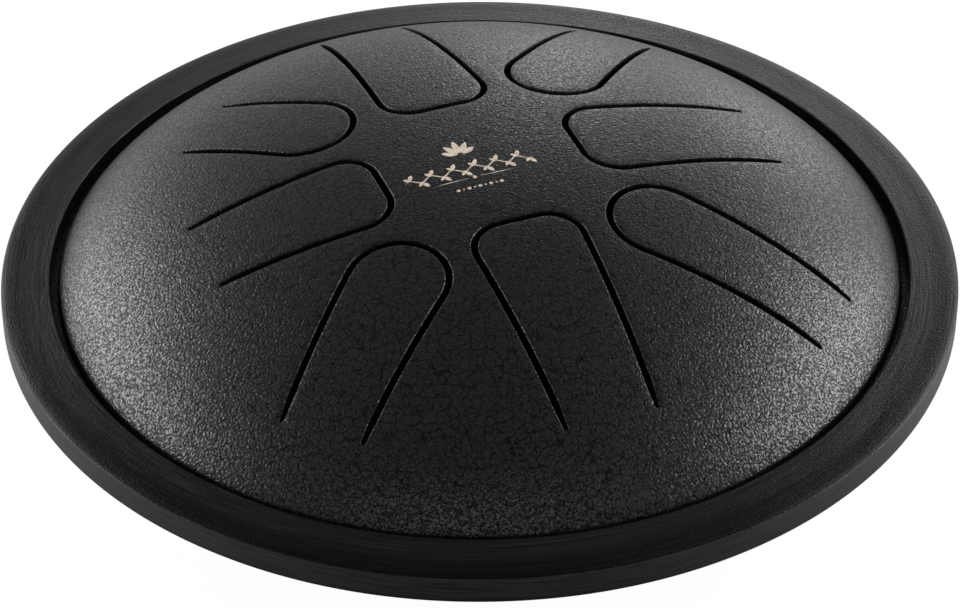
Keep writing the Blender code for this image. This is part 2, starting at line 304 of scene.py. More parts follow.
def collar_profile(face, side):
    """Rows from the dish's outer face round collar and flange to its inner face.

    Side is 1 for the top shell and -1 for the bottom shell, whose rows are mirrored in the seam.
    """
    radius, tilt = bend_start(face)
    point = face(np.array([[radius, 0.0]]))[0][0]
    up = side * (point[2] - seam)
    middle = (COLLAR - COLLAR_BEND, up - COLLAR_BEND * math.cos(math.radians(tilt)))
    foot = (COLLAR + COLLAR_FOOT, SHEET + COLLAR_FOOT)
    inner_foot = (COLLAR - SHEET + COLLAR_FOOT, SEAM_GAP + COLLAR_FOOT)
    rows = np.vstack([
        arc(middle, COLLAR_BEND, 90 - tilt, 0),
        arc(foot, COLLAR_FOOT, 180, 270),
        [(FLANGE, SHEET), (FLANGE, SEAM_GAP)],
        arc(inner_foot, COLLAR_FOOT, 270, 180),
        arc(middle, COLLAR_BEND - SHEET, 0, 90 - tilt),
    ])
    rows[:, 1] = seam + side * rows[:, 1]
    return rows


tongues = []
for joint in frame["joints"]:
    x, y, z = joint["pos_m"]
    direction = round(math.degrees(math.atan2(y, x)))
    tip_shape = SQUARE_TIP if direction % 90 == 0 else ROUND_TIP
    outline, facing, start, stop = slot_loop(direction, tip_shape, math.hypot(x, y))
    tongues.append({
        "body": joint["child"],
        "root": Vector((x, y, z)),
        "tip": tip_shape[0],
        "outline": outline,
        "facing": facing,
        "span": (start, stop),
        "line": root_line(outline, start, stop),
    })

dome_rim = bend_start(dome_face)[0]
slot_outlines = [t["outline"] for t in tongues]
root_lines = [
    np.vstack([t["outline"][t["span"][1] - 1], t["line"], t["outline"][t["span"][0]]])
    for t in tongues
]
plan, triangles = plan_triangles(
    slot_outlines + [circle(dome_rim)],
    [line[1:-1] for line in root_lines],
    ring_points(0.0012, dome_rim, 0.0024),
    0.0013,
)
middles = plan[triangles].mean(axis=1)
cut = np.zeros(len(triangles), bool)
owner = np.full(len(triangles), -1)
for number, tongue in enumerate(tongues):
    start, stop = tongue["span"]
    cut |= inside(middles, tongue["outline"])
    blank = np.vstack([tongue["outline"][start:stop], tongue["line"]])
    owner[inside(middles, blank)] = number

walls = []
for tongue in tongues:
    start, stop = tongue["span"]
    order = np.arange(stop - 1, start + len(tongue["outline"]) + 1) % len(tongue["outline"])
    chain = np.vstack([tongue["outline"][order], tongue["line"][::-1]])
    facing = np.vstack([tongue["facing"][order], 0 * tongue["line"]])
    walls.append(edge_wall(dome_face, chain, facing))
walls.append(turned_wall(collar_profile(dome_face, 1)))
top_shell = closed_piece(
    "top_shell_sheet", sheet_parts(dome_face, plan, triangles[~cut & (owner < 0)], walls)
)


def new_material(name):
    """A material, its node tree, its Principled shader, and each point's place in the object."""
    material = bpy.data.materials.new(name)
    material.use_nodes = True
    tree = material.node_tree
    place = tree.nodes.new("ShaderNodeTexCoord").outputs["Object"]
    return material, tree, tree.nodes["Principled BSDF"], place


def noise(tree, place, cells, detail, roughness=0.5, result="Fac"):
    """Noise read at a place, with about that many cells in a metre."""
    node = tree.nodes.new("ShaderNodeTexNoise")
    node.inputs["Scale"].default_value = cells
    node.inputs["Detail"].default_value = detail
    node.inputs["Roughness"].default_value = roughness
    tree.links.new(place, node.inputs["Vector"])
    return node.outputs[result]


def maths(tree, operation, *values, kind="Math", result="Value"):
    """The result of a Math or VectorMath node, whose values are outputs or plain numbers."""
    node = tree.nodes.new("ShaderNode" + kind)
    node.operation = operation
    for socket, value in zip(node.inputs, values):
        if isinstance(value, bpy.types.NodeSocket):
            tree.links.new(value, socket)
        else:
            socket.default_value = value
    return node.outputs[result]


def remap(tree, value, low, high, start, end, curve="LINEAR"):
    """A value changed so that low becomes start and high becomes end, and held beyond them."""
    node = tree.nodes.new("ShaderNodeMapRange")
    node.interpolation_type = curve
    limits = {"From Min": low, "From Max": high, "To Min": start, "To Max": end}
    for socket, limit in limits.items():
        node.inputs[socket].default_value = limit
    tree.links.new(value, node.inputs["Value"])
    return node.outputs["Result"]


def tones(tree, value, stops):
    """The colour that a value picks from stops of (value, colour)."""
    node = tree.nodes.new("ShaderNodeValToRGB")
    elements = node.color_ramp.elements
    while len(elements) < len(stops):
        elements.new(0.5)
    for element, (position, colour) in zip(elements, stops):
        element.position = position
        element.color = (*colour, 1)
    tree.links.new(value, node.inputs["Fac"])
    return node.outputs["Color"]


def emboss(tree, shader, height, strength, depth):
    """Tilts a shader's normal as a relief of that height would, whose full depth is in metres."""
    node = tree.nodes.new("ShaderNodeBump")
    node.inputs["Strength"].default_value = strength
    node.inputs["Distance"].default_value = depth
    tree.links.new(height, node.inputs["Height"])
    tree.links.new(node.outputs["Normal"], shader.inputs["Normal"])


def crackle_coat():
    """Black crackle powder coat.

    The height is fine grain, plus the plates that the coat shrinks into, with a groove between
    them. The plates' edges wander by CRACK_WANDER. The grooves are darker and shine less, which
    is painted shade, and bright and dull specks are spread over the whole coat.
    """
    material, tree, shader, place = new_material("black_crackle_coat")
    link = tree.links.new
    shader.inputs["IOR"].default_value = 1.5
    wander = noise(tree, place, 420, 2, result="Color")
    wandered = maths(tree, "MULTIPLY_ADD", wander, (CRACK_WANDER,) * 3, place,
                     kind="VectorMath", result="Vector")
    plates = tree.nodes.new("ShaderNodeTexVoronoi")
    plates.feature = "DISTANCE_TO_EDGE"
    plates.inputs["Scale"].default_value = PLATES
    link(wandered, plates.inputs["Vector"])
    plate = remap(tree, plates.outputs["Distance"], 0, GROOVE, 0, 1, "SMOOTHSTEP")

    grain = noise(tree, place, GRAIN, 0.5, 0.4)
    relief = maths(tree, "MULTIPLY_ADD", plate, 0.20, grain)
    emboss(tree, shader, relief, 0.31, 0.00055)

    patch = noise(tree, place, 60, 3)
    # Painted shade: the base colour falls to its darkest in the grooves between the plates.
    tone = maths(tree, "MULTIPLY_ADD", patch, PATCH_SHARE, plate)
    top_tone = (1 + PATCH_SHARE - 0.10) / (1 + PATCH_SHARE)
    link(tones(tree, tone, [(0.15, COAT_GROOVE_SHADE), (top_tone, COAT_LIGHT)]), shader.inputs["Base Color"])

    speck = noise(tree, place, SPECKS, 0)
    link(remap(tree, speck, 0.40, 0.62, 0.46, 0.31), shader.inputs["Roughness"])
    shine = remap(tree, speck, 0.38, 0.64, 0.12, 1)
    # Painted shade: the grooves reflect less than the plates.
    painted_groove_shade = remap(tree, plate, 0, 1, 0.45, 1)
    shader.inputs["Specular IOR Level"].default_value = 0.95
    link(maths(tree, "MULTIPLY", shine, painted_groove_shade), shader.inputs["Specular Tint"])
    return material


coat = crackle_coat()
top_shell.data.materials.append(coat)
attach(top_shell, "drum")
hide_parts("top_shell")


# =============================================================== 2. TONGUES
# Eight tongues of the same sheet, four with square tips and four with round ones. Each
# is free on three sides and still part of the shell at its root, where it flexes.

for number, tongue in enumerate(tongues):
    start, stop = tongue["span"]
    chain = np.vstack([tongue["outline"][start:stop], tongue["line"]])
    facing = np.vstack([tongue["facing"][start:stop], 0 * tongue["line"]])
    piece = closed_piece(
        tongue["body"] + "_sheet",
        sheet_parts(dome_face, plan, triangles[owner == number],
                    [edge_wall(dome_face, chain, facing)]),
    )
    piece.data.materials.append(coat)
    root = tongue["root"]
    radius = math.hypot(root.x, root.y)
    inward = Vector((-root.x, -root.y, 0)) / radius
    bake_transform(piece)
    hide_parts(tongue["body"])


# =============================================================== 3. PRINTED ORNAMENT
# A small plain ornament in cream ink near the middle of the dome: a fan of petals, a vine, a
# rule with a diamond and a row of dots. It is printed on the finished coat and baked on.

PRINT_X = -0.005
FAN_Y = 0.0032
FAN_HUB = 0.0010
PETAL_LENGTHS = (0.0052, 0.0062, 0.0070, 0.0062, 0.0052)
PETAL_SPREAD = 31
VINE_Y = -0.0044
STEM = 0.00024
RULE_Y = -0.0092
DIAMOND = 0.0009
DOTS_Y = -0.0139
DOT_SPACING = 0.0018
INK = 0.00003


def ink_stroke(spine, half_width):
    """A thin closed stroke of ink along plan points, as wide each way as half_width at each.

    Eight points go round its section, at shares of the half width either side of the spine.
    Those above are lifted off the dome along its normal, and those below lie just under it.
    """
    along = np.gradient(spine, axis=0)
    along /= np.linalg.norm(along, axis=1)[:, None]
    side = np.column_stack([-along[:, 1], along[:, 0]])
    share = np.array([-1, -0.6, 0, 0.6, 1, 0.6, 0, -0.6])
    lift = INK * np.array([0.3, 1, 1, 1, 0.3, -0.5, -0.5, -0.5])
    plan = spine[:, None] + (half_width[:, None] * share)[..., None] * side[:, None]
    points, normals = dome_face(plan.reshape(-1, 2))
    return points + np.tile(lift, len(spine))[:, None] * normals, wall_faces(len(spine), 8, 0)


def leaf(foot, heading, length, half_width, steps=16):
    """A stroke that swells as the sine along its length, from a foot point on a heading in degrees."""
    share = np.linspace(0, 1, steps + 1)
    way = np.array([math.cos(math.radians(heading)), math.sin(math.radians(heading))])
    swell = np.sin(math.pi * share) ** 0.8
    swell[[0, -1]] = 0
    return ink_stroke(np.array(foot) + share[:, None] * length * way, half_width * swell)


def vine(middle, width, height, waves):
    """A sine stem along +X, tapered at both ends, with a leaf on the outside of every bend."""
    share = np.linspace(0, 1, 161)
    stem = np.column_stack([
        middle[0] + (share - 0.5) * width,
        middle[1] + height * np.sin(2 * math.pi * waves * share),
    ])
    strokes = [ink_stroke(stem, STEM * np.clip(12 * np.minimum(share, 1 - share), 0, 1))]
    for bend in range(2 * waves):
        at = stem[int(round(160 * (bend + 0.5) / (2 * waves)))]
        up = 1 if bend % 2 == 0 else -1
        strokes.append(leaf(at, up * 62, 0.0033, 0.00072))
        strokes.append(leaf(at, up * 128, 0.0022, 0.00055))
    return strokes


def ornament():
    """The whole ornament as one piece: five petals that fan out by equal angles about +Y from a
    small hub, the vine, two long thin leaves for the rule, the diamond and nine round dots."""
    strokes = []
    for number, length in enumerate(PETAL_LENGTHS, start=-2):
        heading = 90 + PETAL_SPREAD * number
        way = math.radians(heading)
        foot = (PRINT_X + FAN_HUB * math.cos(way), FAN_Y + FAN_HUB * math.sin(way))
        strokes.append(leaf(foot, heading, length, 0.00105))
    strokes += vine((PRINT_X, VINE_Y), 0.043, 0.0010, 6)
    for side in (-1, 1):
        start = np.array([PRINT_X + side * 0.0016, RULE_Y])
        strokes.append(leaf(start, 90 - side * 90, 0.0115, 0.00016))
    share = np.linspace(-1, 1, 9)
    diamond = np.column_stack([np.full(9, PRINT_X), RULE_Y + DIAMOND * share])
    strokes.append(ink_stroke(diamond, 0.0008 * (1 - abs(share))))
    for number in range(-4, 5):
        radius = 0.00034 if number % 2 else 0.00062
        share = np.cos(np.linspace(math.pi, 0, 13))
        spine = np.column_stack([
            PRINT_X + number * DOT_SPACING + radius * share,
            np.full(13, DOTS_Y),
        ])
        strokes.append(ink_stroke(spine, radius * np.sqrt(1 - share ** 2)))
    return closed_piece("printed_ornament", strokes)


def cream_ink():
    """Cream ink, thinner and dirtier where the coat's grain stands up through it."""
    material, tree, shader, place = new_material("cream_ink")
    shader.inputs["Roughness"].default_value = 0.5
    grain = noise(tree, place, GRAIN, 2)
    colour = tones(tree, grain, [(0.30, (0.34, 0.27, 0.20)), (0.46, (0.80, 0.68, 0.55))])
    tree.links.new(colour, shader.inputs["Base Color"])
    emboss(tree, shader, grain, 0.25, 0.0003)
    return material


print_piece = ornament()
print_piece.data.materials.append(cream_ink())
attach(print_piece, "drum")


# =============================================================== 4. BOTTOM SHELL
# The lower half: the same pressing turned over, with a flat base. The base has three holes for
# the feet, and a sound port whose edge is turned up into the drum. Coated like the top.

BASE_BEND = 0.015
PORT = 0.026
PORT_BEND = 0.004
PORT_LIP = 0.006
FOOT_HOLE = 0.0023
DISH_STEPS = 480
base_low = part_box("bottom_shell")[0].z
foot_centres = []
for number in (1, 2, 3):
    low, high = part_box(f"foot_{number}")
    foot_centres.append(((low.x + high.x) / 2, (low.y + high.y) / 2))


def dish_face(xy):
    """Outer face of the bottom dish: the dome's face mirrored in the seam."""
    points, normals = dome_face(xy)
    points[:, 2] = 2 * seam - points[:, 2]
    normals[:, 2] *= -1
    return points, normals


def base_face(xy):
    """Outer face of the flat base, which looks down."""
    points = np.column_stack([xy, np.full(len(xy), base_low)])
    return points, np.tile([0.0, 0.0, -1.0], (len(xy), 1))


def base_bend():
    """Radius where the dish meets the base's bend, and its tilt there in degrees.

    The bend is an arc that touches both the base and the dish.
    """
    radius = DISH_WIDTH * math.sqrt(1 - ((2 * seam - crown + DISH_DEPTH - base_low) / DISH_DEPTH) ** 2)
    for _ in range(12):
        points, normals = dish_face(np.array([[radius, 0.0]]))
        tilt = math.asin(normals[0][0])
        rise = points[0][2] - base_low - BASE_BEND * (1 - math.cos(tilt))
        radius -= rise / math.tan(tilt)
    return radius, math.degrees(tilt)


def dish_profile():
    """Rows from the base's edge up the dish, round the collar and flange, and back inside."""
    start, tilt = base_bend()
    centre = (start - BASE_BEND * math.sin(math.radians(tilt)), base_low + BASE_BEND)
    end = bend_start(dish_face)[0]
    turn = np.linspace(math.asin(start / DISH_WIDTH), math.asin(end / DISH_WIDTH), 24)
    radius = DISH_WIDTH * np.sin(turn)
    points, normals = dish_face(np.column_stack([radius, 0 * radius]))
    inner = points - SHEET * normals
    return np.vstack([
        arc(centre, BASE_BEND, -90, tilt - 90),
        points[1:-1, [0, 2]],
        collar_profile(dish_face, -1),
        inner[-2:0:-1, [0, 2]],
        arc(centre, BASE_BEND - SHEET, tilt - 90, -90),
    ])


def port_profile():
    """Rows round the port's turned-up lip, from the base's outer face to its inner face."""
    bend = (PORT + SHEET + PORT_BEND, base_low + SHEET + PORT_BEND)
    lip_top = (PORT + SHEET / 2, base_low + PORT_LIP + SHEET / 2)
    return np.vstack([
        arc(bend, PORT_BEND + SHEET, 270, 180, 10),
        arc(lip_top, SHEET / 2, 180, 0, 10),
        arc(bend, PORT_BEND, 180, 270, 10),
    ])


dish_rows, port_rows = dish_profile(), port_profile()
hole_outlines = [
    circle(FOOT_HOLE + BROKEN_EDGE, 48) + np.array(centre) for centre in foot_centres
]
base_plan, base_triangles = plan_triangles(
    [circle(dish_rows[0][0], DISH_STEPS), circle(port_rows[0][0], DISH_STEPS)] + hole_outlines,
    [],
    ring_points(port_rows[0][0] + 0.002, dish_rows[0][0], 0.003),
    0.0016,
)
middles = base_plan[base_triangles].mean(axis=1)
kept = np.linalg.norm(middles, axis=1) > port_rows[0][0] * 0.9999
for outline in hole_outlines:
    kept &= ~inside(middles, outline)
base_walls = [turned_wall(dish_rows, DISH_STEPS), turned_wall(port_rows, DISH_STEPS)]
for outline in hole_outlines:
    inward = outline.mean(axis=0) - outline
    facing = inward / np.linalg.norm(inward, axis=1)[:, None]
    base_walls.append(edge_wall(base_face, outline, facing))
bottom_shell = closed_piece(
    "bottom_shell_sheet", sheet_parts(base_face, base_plan, base_triangles[kept], base_walls)
)
bottom_shell.data.materials.append(coat)
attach(bottom_shell, "drum")
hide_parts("bottom_shell")


# =============================================================== 5. RIM WELD
# The bead that joins the two flanges all round their edge. It is laid in short steps, each
# a crescent over the last, and stays bare under the rubber ring.

WELD_STEPS = 330
WELD_GAP = 0.0003
CRESCENT_FALL = 0.16


def weld_bead():
    """Half a circle carried round the flanges, whose reach falls off along each crescent."""
    low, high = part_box("rim_weld")
    root = FLANGE + WELD_GAP
    reach, half = high.x - root, (high.z - low.z) / 2
    angle = np.linspace(0, 2 * math.pi, WELD_STEPS * 6, endpoint=False)
    crescent = 1 - CRESCENT_FALL * np.mod(angle * WELD_STEPS / (2 * math.pi), 1) ** 2
    turn = np.radians(np.linspace(90, -90, 11))
    radius = root + reach * np.cos(turn)[:, None] * crescent
    radius = np.vstack([radius, np.full((1, len(angle)), root), radius[:1]])
    height = seam + half * np.concatenate([np.sin(turn), [0, 1]])
    wall = np.stack([
        radius * np.cos(angle),
        radius * np.sin(angle),
        np.repeat(height[:, None], len(angle), axis=1),
    ], axis=2)
    return closed_piece(
        "rim_weld_bead", [(wall.reshape(-1, 3), wall_faces(len(height), len(angle), 0))]
    )


def plated_steel(name, dark, light, roughness):
    """Bright metal whose colour and roughness drift over a few millimetres, with fine scratches."""
    material, tree, shader, place = new_material(name)
    shader.inputs["Metallic"].default_value = 1
    drift = noise(tree, place, 340, 4)
    tree.links.new(tones(tree, drift, [(0.35, dark), (0.65, light)]), shader.inputs["Base Color"])
    gloss = remap(tree, drift, 0.3, 0.7, roughness - 0.08, roughness + 0.12)
    tree.links.new(gloss, shader.inputs["Roughness"])
    emboss(tree, shader, noise(tree, place, 5200, 2), 0.2, 0.00005)
    return material


rim_weld = weld_bead()
rim_weld.data.materials.append(
    plated_steel("bare_weld", (0.16, 0.13, 0.11), (0.42, 0.40, 0.38), 0.42)
)
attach(rim_weld, "drum")
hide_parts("rim_weld")


# =============================================================== 6. EDGE RING
# A moulded rubber channel, pushed over both flanges after the drum is tuned. Its top face rises
# a little towards the dome, and fine lines from its mould run round it.

ring_low, ring_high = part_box("edge_ring")
RING = ring_high.x
RING_INNER = 0.1369
RING_TOP = 0.0050
RING_SHOULDER = 0.0004
RING_EDGE = 0.00035
RING_CORNER = 0.0006
RING_LOWER_CORNER = 0.0032
RING_BOTTOM = seam - ring_low.z
RING_GRIP = 0.0018
RING_PLAY = 0.0003
STRAIGHT_FALL = 0.6
ROLL_OFF = 7.0
RING_LINES = 2600
LINE_DRIFT = 9
DULL_FROM = 0.1430


def ring_profile():
    """Rows round the channel's section, from its inner top edge outwards and back inside.

    The top face falls by its whole drop across the ring: STRAIGHT_FALL of the drop in a straight
    line, and the rest with the way across to the power ROLL_OFF. Arcs go round the corners.
    """
    inner_top = (RING_INNER + RING_CORNER, ring_high.z - seam - RING_CORNER)
    outer_top = (RING - RING_EDGE, RING_TOP - RING_SHOULDER)
    outer_low = (RING - RING_LOWER_CORNER, RING_LOWER_CORNER - RING_BOTTOM)
    inner_low = (RING_INNER + RING_CORNER, RING_CORNER - RING_BOTTOM)
    grip, grip_height = FLANGE + RING_GRIP, SHEET + RING_PLAY
    way = np.linspace(0.05, 0.96, 22)
    drop = ring_high.z - seam - RING_TOP + RING_SHOULDER - RING_EDGE
    fall = STRAIGHT_FALL * way + (1 - STRAIGHT_FALL) * way ** ROLL_OFF
    top = np.column_stack([RING_INNER + way * (RING - RING_INNER), ring_high.z - seam - drop * fall])
    rows = np.vstack([
        arc(inner_top, RING_CORNER, 180, 97, 6),
        top,
        arc(outer_top, RING_EDGE, 72, 0, 6),
        arc(outer_low, RING_LOWER_CORNER, 0, -90, 12),
        arc(inner_low, RING_CORNER, -90, -180, 6),
        [(RING_INNER, -grip_height), (grip, -grip_height), (grip, grip_height),
         (RING_INNER, grip_height)],
    ])
    rows[:, 1] += seam
    return rows


def turned_piece(name, profile, steps=ROUND_STEPS, closed=True, centre=(0.0, 0.0), sharp=40):
    """A closed piece turned from rows of (radius, height), about an upright axis at centre."""
    rows = np.asarray(profile)
    if closed:
        rows = np.vstack([rows, rows[:1]])
    wall = turned_wall(rows, steps) + np.array([*centre, 0.0])
    return closed_piece(
        name, [(wall.reshape(-1, 3), wall_faces(len(rows), steps, 0))], sharp
    )


def moulded_rubber(name, colour, roughness, relief):
    """Black rubber with fine grain and fine lines round the axis.

    The lines are noise read at radius and height, both times RING_LINES, plus the heading times
    LINE_DRIFT, which makes them drift slowly on their way round. The top's outer half reflects
    less, which is painted shade.
    """
    material, tree, shader, place = new_material(name)
    link = tree.links.new
    shader.inputs["Base Color"].default_value = (*colour, 1)
    flat = maths(tree, "MULTIPLY", place, (1, 1, 0), kind="VectorMath", result="Vector")
    radius = maths(tree, "LENGTH", flat, kind="VectorMath")
    heading = maths(tree, "NORMALIZE", flat, kind="VectorMath", result="Vector")
    split = tree.nodes.new("ShaderNodeSeparateXYZ")
    link(place, split.inputs["Vector"])
    section = tree.nodes.new("ShaderNodeCombineXYZ")
    link(radius, section.inputs["X"])
    link(split.outputs["Z"], section.inputs["Z"])
    spread = maths(tree, "MULTIPLY", section.outputs["Vector"], (RING_LINES,) * 3,
                   kind="VectorMath", result="Vector")
    wound = maths(tree, "MULTIPLY_ADD", heading, (LINE_DRIFT, LINE_DRIFT, 0), spread,
                  kind="VectorMath", result="Vector")
    lines = noise(tree, wound, 1, 4, 0.6)
    height = maths(tree, "MULTIPLY_ADD", lines, 0.9, noise(tree, place, 1500, 2))
    emboss(tree, shader, height, relief, 0.0003)
    gloss = remap(tree, lines, 0.3, 0.7, roughness - 0.06, roughness + 0.1)
    link(gloss, shader.inputs["Roughness"])
    # Painted shade: the outer half of the top face, short of its outer edge, reflects only a quarter
    # as much.
    across = remap(tree, radius, DULL_FROM, RING, 0, 1)
    full, dull = (1, 1, 1), (0.25, 0.25, 0.25)
    painted_outer_shade = tones(tree, across, [(0, full), (0.45, dull), (0.96, dull), (1, full)])
    streak = remap(tree, lines, 0.36, 0.64, 0.35, 1)
    shader.inputs["Specular IOR Level"].default_value = 0.7
    link(maths(tree, "MULTIPLY", painted_outer_shade, streak), shader.inputs["Specular Tint"])
    return material


edge_ring = turned_piece("edge_ring_rubber", ring_profile())
edge_ring.data.materials.append(moulded_rubber("edge_rubber", (0.0034, 0.0033, 0.0037), 0.34, 0.55))
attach(edge_ring, "drum")
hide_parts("edge_ring")


# =============================================================== 7. FEET
# Three moulded rubber feet under the base. Each has a recess for its screw, two grip grooves
# in its sole and a faint line where the halves of its mould met.

FOOT_TOP = 0.0110
FOOT_SOLE = 0.0098
FOOT_EDGE = 0.0006
SOLE_EDGE = 0.0010
MOULD_LINE = 0.00012
GRIP_GROOVES = (0.0080, 0.0067)
GRIP_DEPTH = 0.00028
RECESS = 0.0052
RECESS_DEPTH = 0.0045
RECESS_MOUTH = 0.0004
HOLE_EDGE = 0.0003


def foot_profile(low, high):
    """Rows round a foot's section: down its tapered side, across the sole, and up the recess."""
    side = [(FOOT_TOP - share * (FOOT_TOP - FOOT_SOLE), high - share * (high - low - SOLE_EDGE))
            for share in (0.42, 0.455, 0.47, 0.485, 0.52)]
    side[2] = (side[2][0] + MOULD_LINE, side[2][1])
    rows = [
        arc((FOOT_HOLE + HOLE_EDGE, high - HOLE_EDGE), HOLE_EDGE, 180, 90, 4),
        arc((FOOT_TOP - FOOT_EDGE, high - FOOT_EDGE), FOOT_EDGE, 90, -5, 6),
        side,
        arc((FOOT_SOLE - SOLE_EDGE, low + SOLE_EDGE), SOLE_EDGE, -5, -90, 8),
    ]
    for groove in GRIP_GROOVES:
        rows.append(arc((groove, low), GRIP_DEPTH, 0, 180, 8))
    rows += [
        arc((RECESS + RECESS_MOUTH, low + RECESS_MOUTH), RECESS_MOUTH, -90, -180, 5),
        arc((RECESS - HOLE_EDGE, low + RECESS_DEPTH - HOLE_EDGE), HOLE_EDGE, 0, 90, 4),
        [(FOOT_HOLE, low + RECESS_DEPTH)],
    ]
    return np.vstack(rows)


def foot_rubber():
    """Dull black rubber with a fine moulded grain and grey dust in its hollows."""
    material, tree, shader, place = new_material("foot_rubber")
    grain = noise(tree, place, 2400, 3)
    colour = tones(tree, grain, [(0.3, (0.020, 0.020, 0.020)), (0.7, (0.009, 0.009, 0.0095))])
    tree.links.new(colour, shader.inputs["Base Color"])
    tree.links.new(remap(tree, grain, 0, 1, 0.75, 0.5), shader.inputs["Roughness"])
    emboss(tree, shader, grain, 0.35, 0.0001)
    return material


sole_rubber = foot_rubber()
for number, centre in enumerate(foot_centres, start=1):
    low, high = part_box(f"foot_{number}")
    foot = turned_piece(f"foot_{number}_rubber", foot_profile(low.z, high.z), 128, centre=centre)
    foot.data.materials.append(sole_rubber)
    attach(foot, "drum")
    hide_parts(f"foot_{number}")


# =============================================================== 8. FOOT SCREWS, WASHERS, NUTS
# Each foot is held by an M4 pan head screw that goes up from its recess, with a washer under
# the head and a nut inside the drum. All are zinc plated steel.

SCREW = 0.0020
THREAD_PITCH = 0.0007
THREAD_DEPTH = 0.00025
POINT = 0.0005
HEAD = 0.0038
HEAD_HEIGHT = 0.0024
HEAD_ROUNDING = 0.0012
HEAD_RIM = 0.0002
CROSS_WIDTH = 0.0009
CROSS_REACH = 0.0022
CROSS_DEPTH = 0.0013
NUT_FLATS = 0.0070


def round_grid(name, radius, height, centre):
    """A closed piece from rows of radius and height at even angles; rows at nil radius are poles."""
    angle = np.linspace(0, 2 * math.pi, radius.shape[1], endpoint=False)
    grid = np.stack([
        centre[0] + radius * np.cos(angle),
        centre[1] + radius * np.sin(angle),
        height,
    ], axis=2)
    return closed_piece(name, [(grid.reshape(-1, 3), wall_faces(*radius.shape, 0))], 30)


def thread(height, angle):
    """How deep the thread is cut: a triangle wave of height over pitch less the turn's share."""
    turns = np.mod(height / THREAD_PITCH - angle / (2 * math.pi), 1)
    return THREAD_DEPTH * np.abs(2 * turns - 1)


def foot_screw(name, low, high):
    """A pan head screw that points up.

    The head's face rises into a cross where either plan distance from the middle is under half
    the cross's width and the other is under its reach. The shank's radius is less the thread.
    """
    angle = np.linspace(0, 2 * math.pi, 96, endpoint=False)
    face = np.column_stack([np.linspace(0, HEAD - HEAD_ROUNDING - 0.0001, 26), np.full(26, low.z)])
    rows = np.vstack([
        face,
        arc((HEAD - HEAD_ROUNDING, low.z + HEAD_ROUNDING), HEAD_ROUNDING, -85, 0, 8),
        arc((HEAD - HEAD_RIM, low.z + HEAD_HEIGHT - HEAD_RIM), HEAD_RIM, 0, 90, 3),
        [(SCREW, low.z + HEAD_HEIGHT)],
    ])
    head_rows = len(rows)
    shank = np.arange(low.z + HEAD_HEIGHT + 0.0001, high.z, THREAD_PITCH / 8)
    rows = np.vstack([rows, np.column_stack([np.full(len(shank), SCREW), shank]),
                      [(SCREW - POINT, high.z), (0, high.z)]])
    radius = np.repeat(rows[:, :1], len(angle), axis=1)
    height = np.repeat(rows[:, 1:], len(angle), axis=1)
    across, along = np.abs(radius * np.cos(angle)), np.abs(radius * np.sin(angle))
    arms = [
        np.clip((CROSS_WIDTH / 2 - a) / 0.0001, 0, 1) * np.clip((CROSS_REACH - b) / 0.0007, 0, 1)
        for a, b in ((across, along), (along, across))
    ]
    cross = CROSS_DEPTH * np.maximum(*arms)
    height[:len(face)] += cross[:len(face)]
    cut = slice(head_rows, head_rows + len(shank))
    ends = np.minimum(shank - shank[0], shank[-1] - shank) / THREAD_PITCH
    fade = np.clip(ends, 0, 1)[:, None]
    radius[cut] -= fade * thread(height[cut], angle)
    chamfer = np.clip(1 - (high.z - shank) / POINT, 0, 1)[:, None]
    radius[cut] -= 0.0004 * chamfer
    return round_grid(name, radius, height, centre=((low.x + high.x) / 2, (low.y + high.y) / 2))


def foot_nut(name, low, high):
    """A hexagon nut: half its flats over the cosine of the turn from a flat's middle, cut back
    by a cone at both ends, with a threaded bore."""
    angle = np.linspace(0, 2 * math.pi, 120, endpoint=False)
    from_flat = np.mod(angle + math.pi / 6, math.pi / 3) - math.pi / 6
    hexagon = NUT_FLATS / 2 / np.cos(from_flat)
    side = np.linspace(0, 1, 25)
    side_height = low.z + side * (high.z - low.z)
    cone = NUT_FLATS / 2 * 0.96 + 1.9 * np.minimum(side, 1 - side) * (high.z - low.z)
    outside = np.minimum(hexagon, cone[:, None])
    bore_height = side_height[::-1]
    bore = FOOT_HOLE - 0.0001 + 0.4 * thread(bore_height[:, None], angle)
    radius = np.vstack([outside, bore, outside[:1]])
    height = np.concatenate([side_height, bore_height, side_height[:1]])
    height = np.repeat(height[:, None], len(angle), axis=1)
    return round_grid(name, radius, height, centre=((low.x + high.x) / 2, (low.y + high.y) / 2))


def washer_profile(low, high):
    """Rows round a flat washer's section, whose edges are rounded by the punch."""
    outer, edge = (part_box("foot_washer_1")[1].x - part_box("foot_washer_1")[0].x) / 2, 0.0002
    return np.vstack([
        arc((FOOT_HOLE + edge, high - edge), edge, 180, 90, 3),
        arc((outer - edge, high - edge), edge, 90, 0, 3),
        arc((outer - edge, low + edge), edge, 0, -90, 3),
        arc((FOOT_HOLE + edge, low + edge), edge, -90, -180, 3),
    ])


zinc = plated_steel("zinc_plate", (0.48, 0.48, 0.47), (0.66, 0.66, 0.64), 0.28)
for number, centre in enumerate(foot_centres, start=1):
    low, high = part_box(f"foot_washer_{number}")
    washer = turned_piece(f"foot_washer_{number}_steel", washer_profile(low.z, high.z), 96,
                          centre=centre)
    fasteners = {
        f"foot_washer_{number}": washer,
        f"foot_screw_{number}": foot_screw(f"foot_screw_{number}_steel",
                                           *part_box(f"foot_screw_{number}")),
        f"foot_nut_{number}": foot_nut(f"foot_nut_{number}_steel", *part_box(f"foot_nut_{number}")),
    }
    for node, piece in fasteners.items():
        piece.data.materials.append(zinc)
        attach(piece, "drum")
        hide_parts(node)


# =============================================================== 9. STUDIO
# A pale floor and soft lights round the drum, with the camera in front and above. Their
# positions are given from the drum's own ring and seam.

